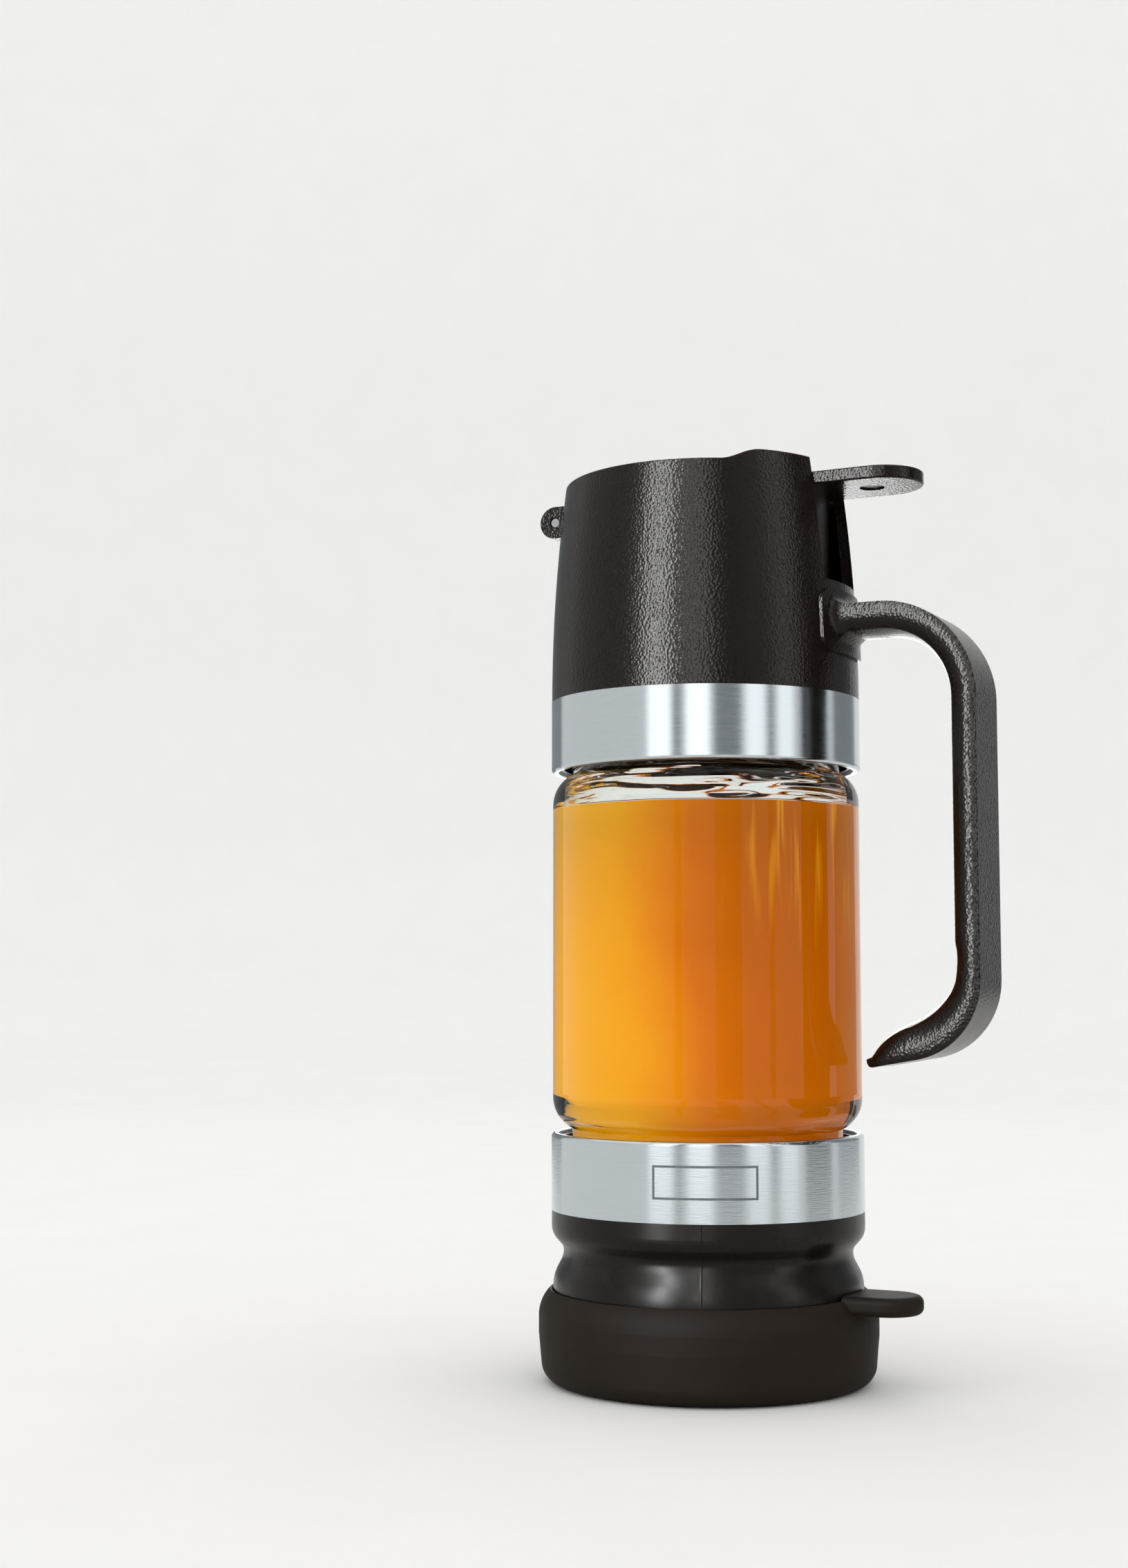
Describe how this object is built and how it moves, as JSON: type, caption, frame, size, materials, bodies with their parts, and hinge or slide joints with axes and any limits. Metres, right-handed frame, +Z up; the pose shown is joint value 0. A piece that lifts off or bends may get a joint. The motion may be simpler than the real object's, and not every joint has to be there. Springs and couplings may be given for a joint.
{
  "type": "honey dispenser",
  "caption": "Upright dispenser for honey: glass jar in twist-lock collars, thumb lever on an air pump, side handle, slit valve under a funnel and a silicone base that closes it.",
  "frame": {"origin": "centre of the underside of the silicone base, on the jar's axis", "axes": "+Z up along the jar's axis, +X towards the handle, -X towards the lever's hinge"},
  "size_m": [0.108, 0.0774, 0.2085],
  "materials": {
    "grained_black_plastic": "fine leather grain",
    "smooth_black_plastic": "satin",
    "natural_plastic": "moulded",
    "glass": "clear",
    "brushed_steel": "brushed round",
    "plain_steel": "plain",
    "black_silicone": "matt",
    "pale_silicone": "translucent"
  },
  "bodies": {
    "silicone_base": {"silicone_base": "black_silicone"},
    "nozzle_unit": {"nozzle_base": "smooth_black_plastic", "lower_steel_ring": "brushed_steel", "lower_gasket": "pale_silicone", "nozzle_funnel": "smooth_black_plastic", "slit_valve": "pale_silicone", "valve_retainer": "smooth_black_plastic"},
    "jar": {"glass_jar": "glass"},
    "top_unit": {"top_housing": "grained_black_plastic", "handle": "grained_black_plastic", "handle_screws": "plain_steel", "upper_steel_ring": "brushed_steel", "upper_gasket": "pale_silicone", "pump_cylinder": "natural_plastic", "pump_gasket": "pale_silicone", "pump_screws": "plain_steel", "cylinder_cap": "natural_plastic", "check_valve": "pale_silicone", "lever_pin": "plain_steel", "return_spring": "plain_steel"},
    "lever": {"thumb_lever": "grained_black_plastic"},
    "plunger": {"plunger": "natural_plastic", "piston_seal": "pale_silicone", "intake_flap": "pale_silicone"}
  },
  "joints": [
    {"name": "base_lift", "type": "slide", "parent": "silicone_base", "child": "nozzle_unit", "axis": [0, 0, 1], "range_m": [0, 0.03]},
    {"name": "nozzle_twist", "type": "hinge", "parent": "nozzle_unit", "child": "jar", "pos_m": [0, 0, 0.05], "axis": [0, 0, 1], "range_deg": [0, 60]},
    {"name": "top_twist", "type": "hinge", "parent": "jar", "child": "top_unit", "pos_m": [0, 0, 0.15], "axis": [0, 0, 1], "range_deg": [0, 60]},
    {"name": "lever_press", "type": "hinge", "parent": "top_unit", "child": "lever", "pos_m": [-0.0369, 0, 0.2006], "axis": [0, 1, 0], "range_deg": [0, 16], "stiffness_Nm_per_rad": 0.8, "springref_deg": -14.32},
    {"name": "plunger_slide", "type": "slide", "parent": "top_unit", "child": "plunger", "axis": [0, 0, -1], "range_m": [0, 0.0103], "deforming": ["return_spring"]}
  ],
  "couplings": [
    {"joint": "plunger_slide", "follows": "lever_press", "m_per_rad": 0.0363}
  ]
}
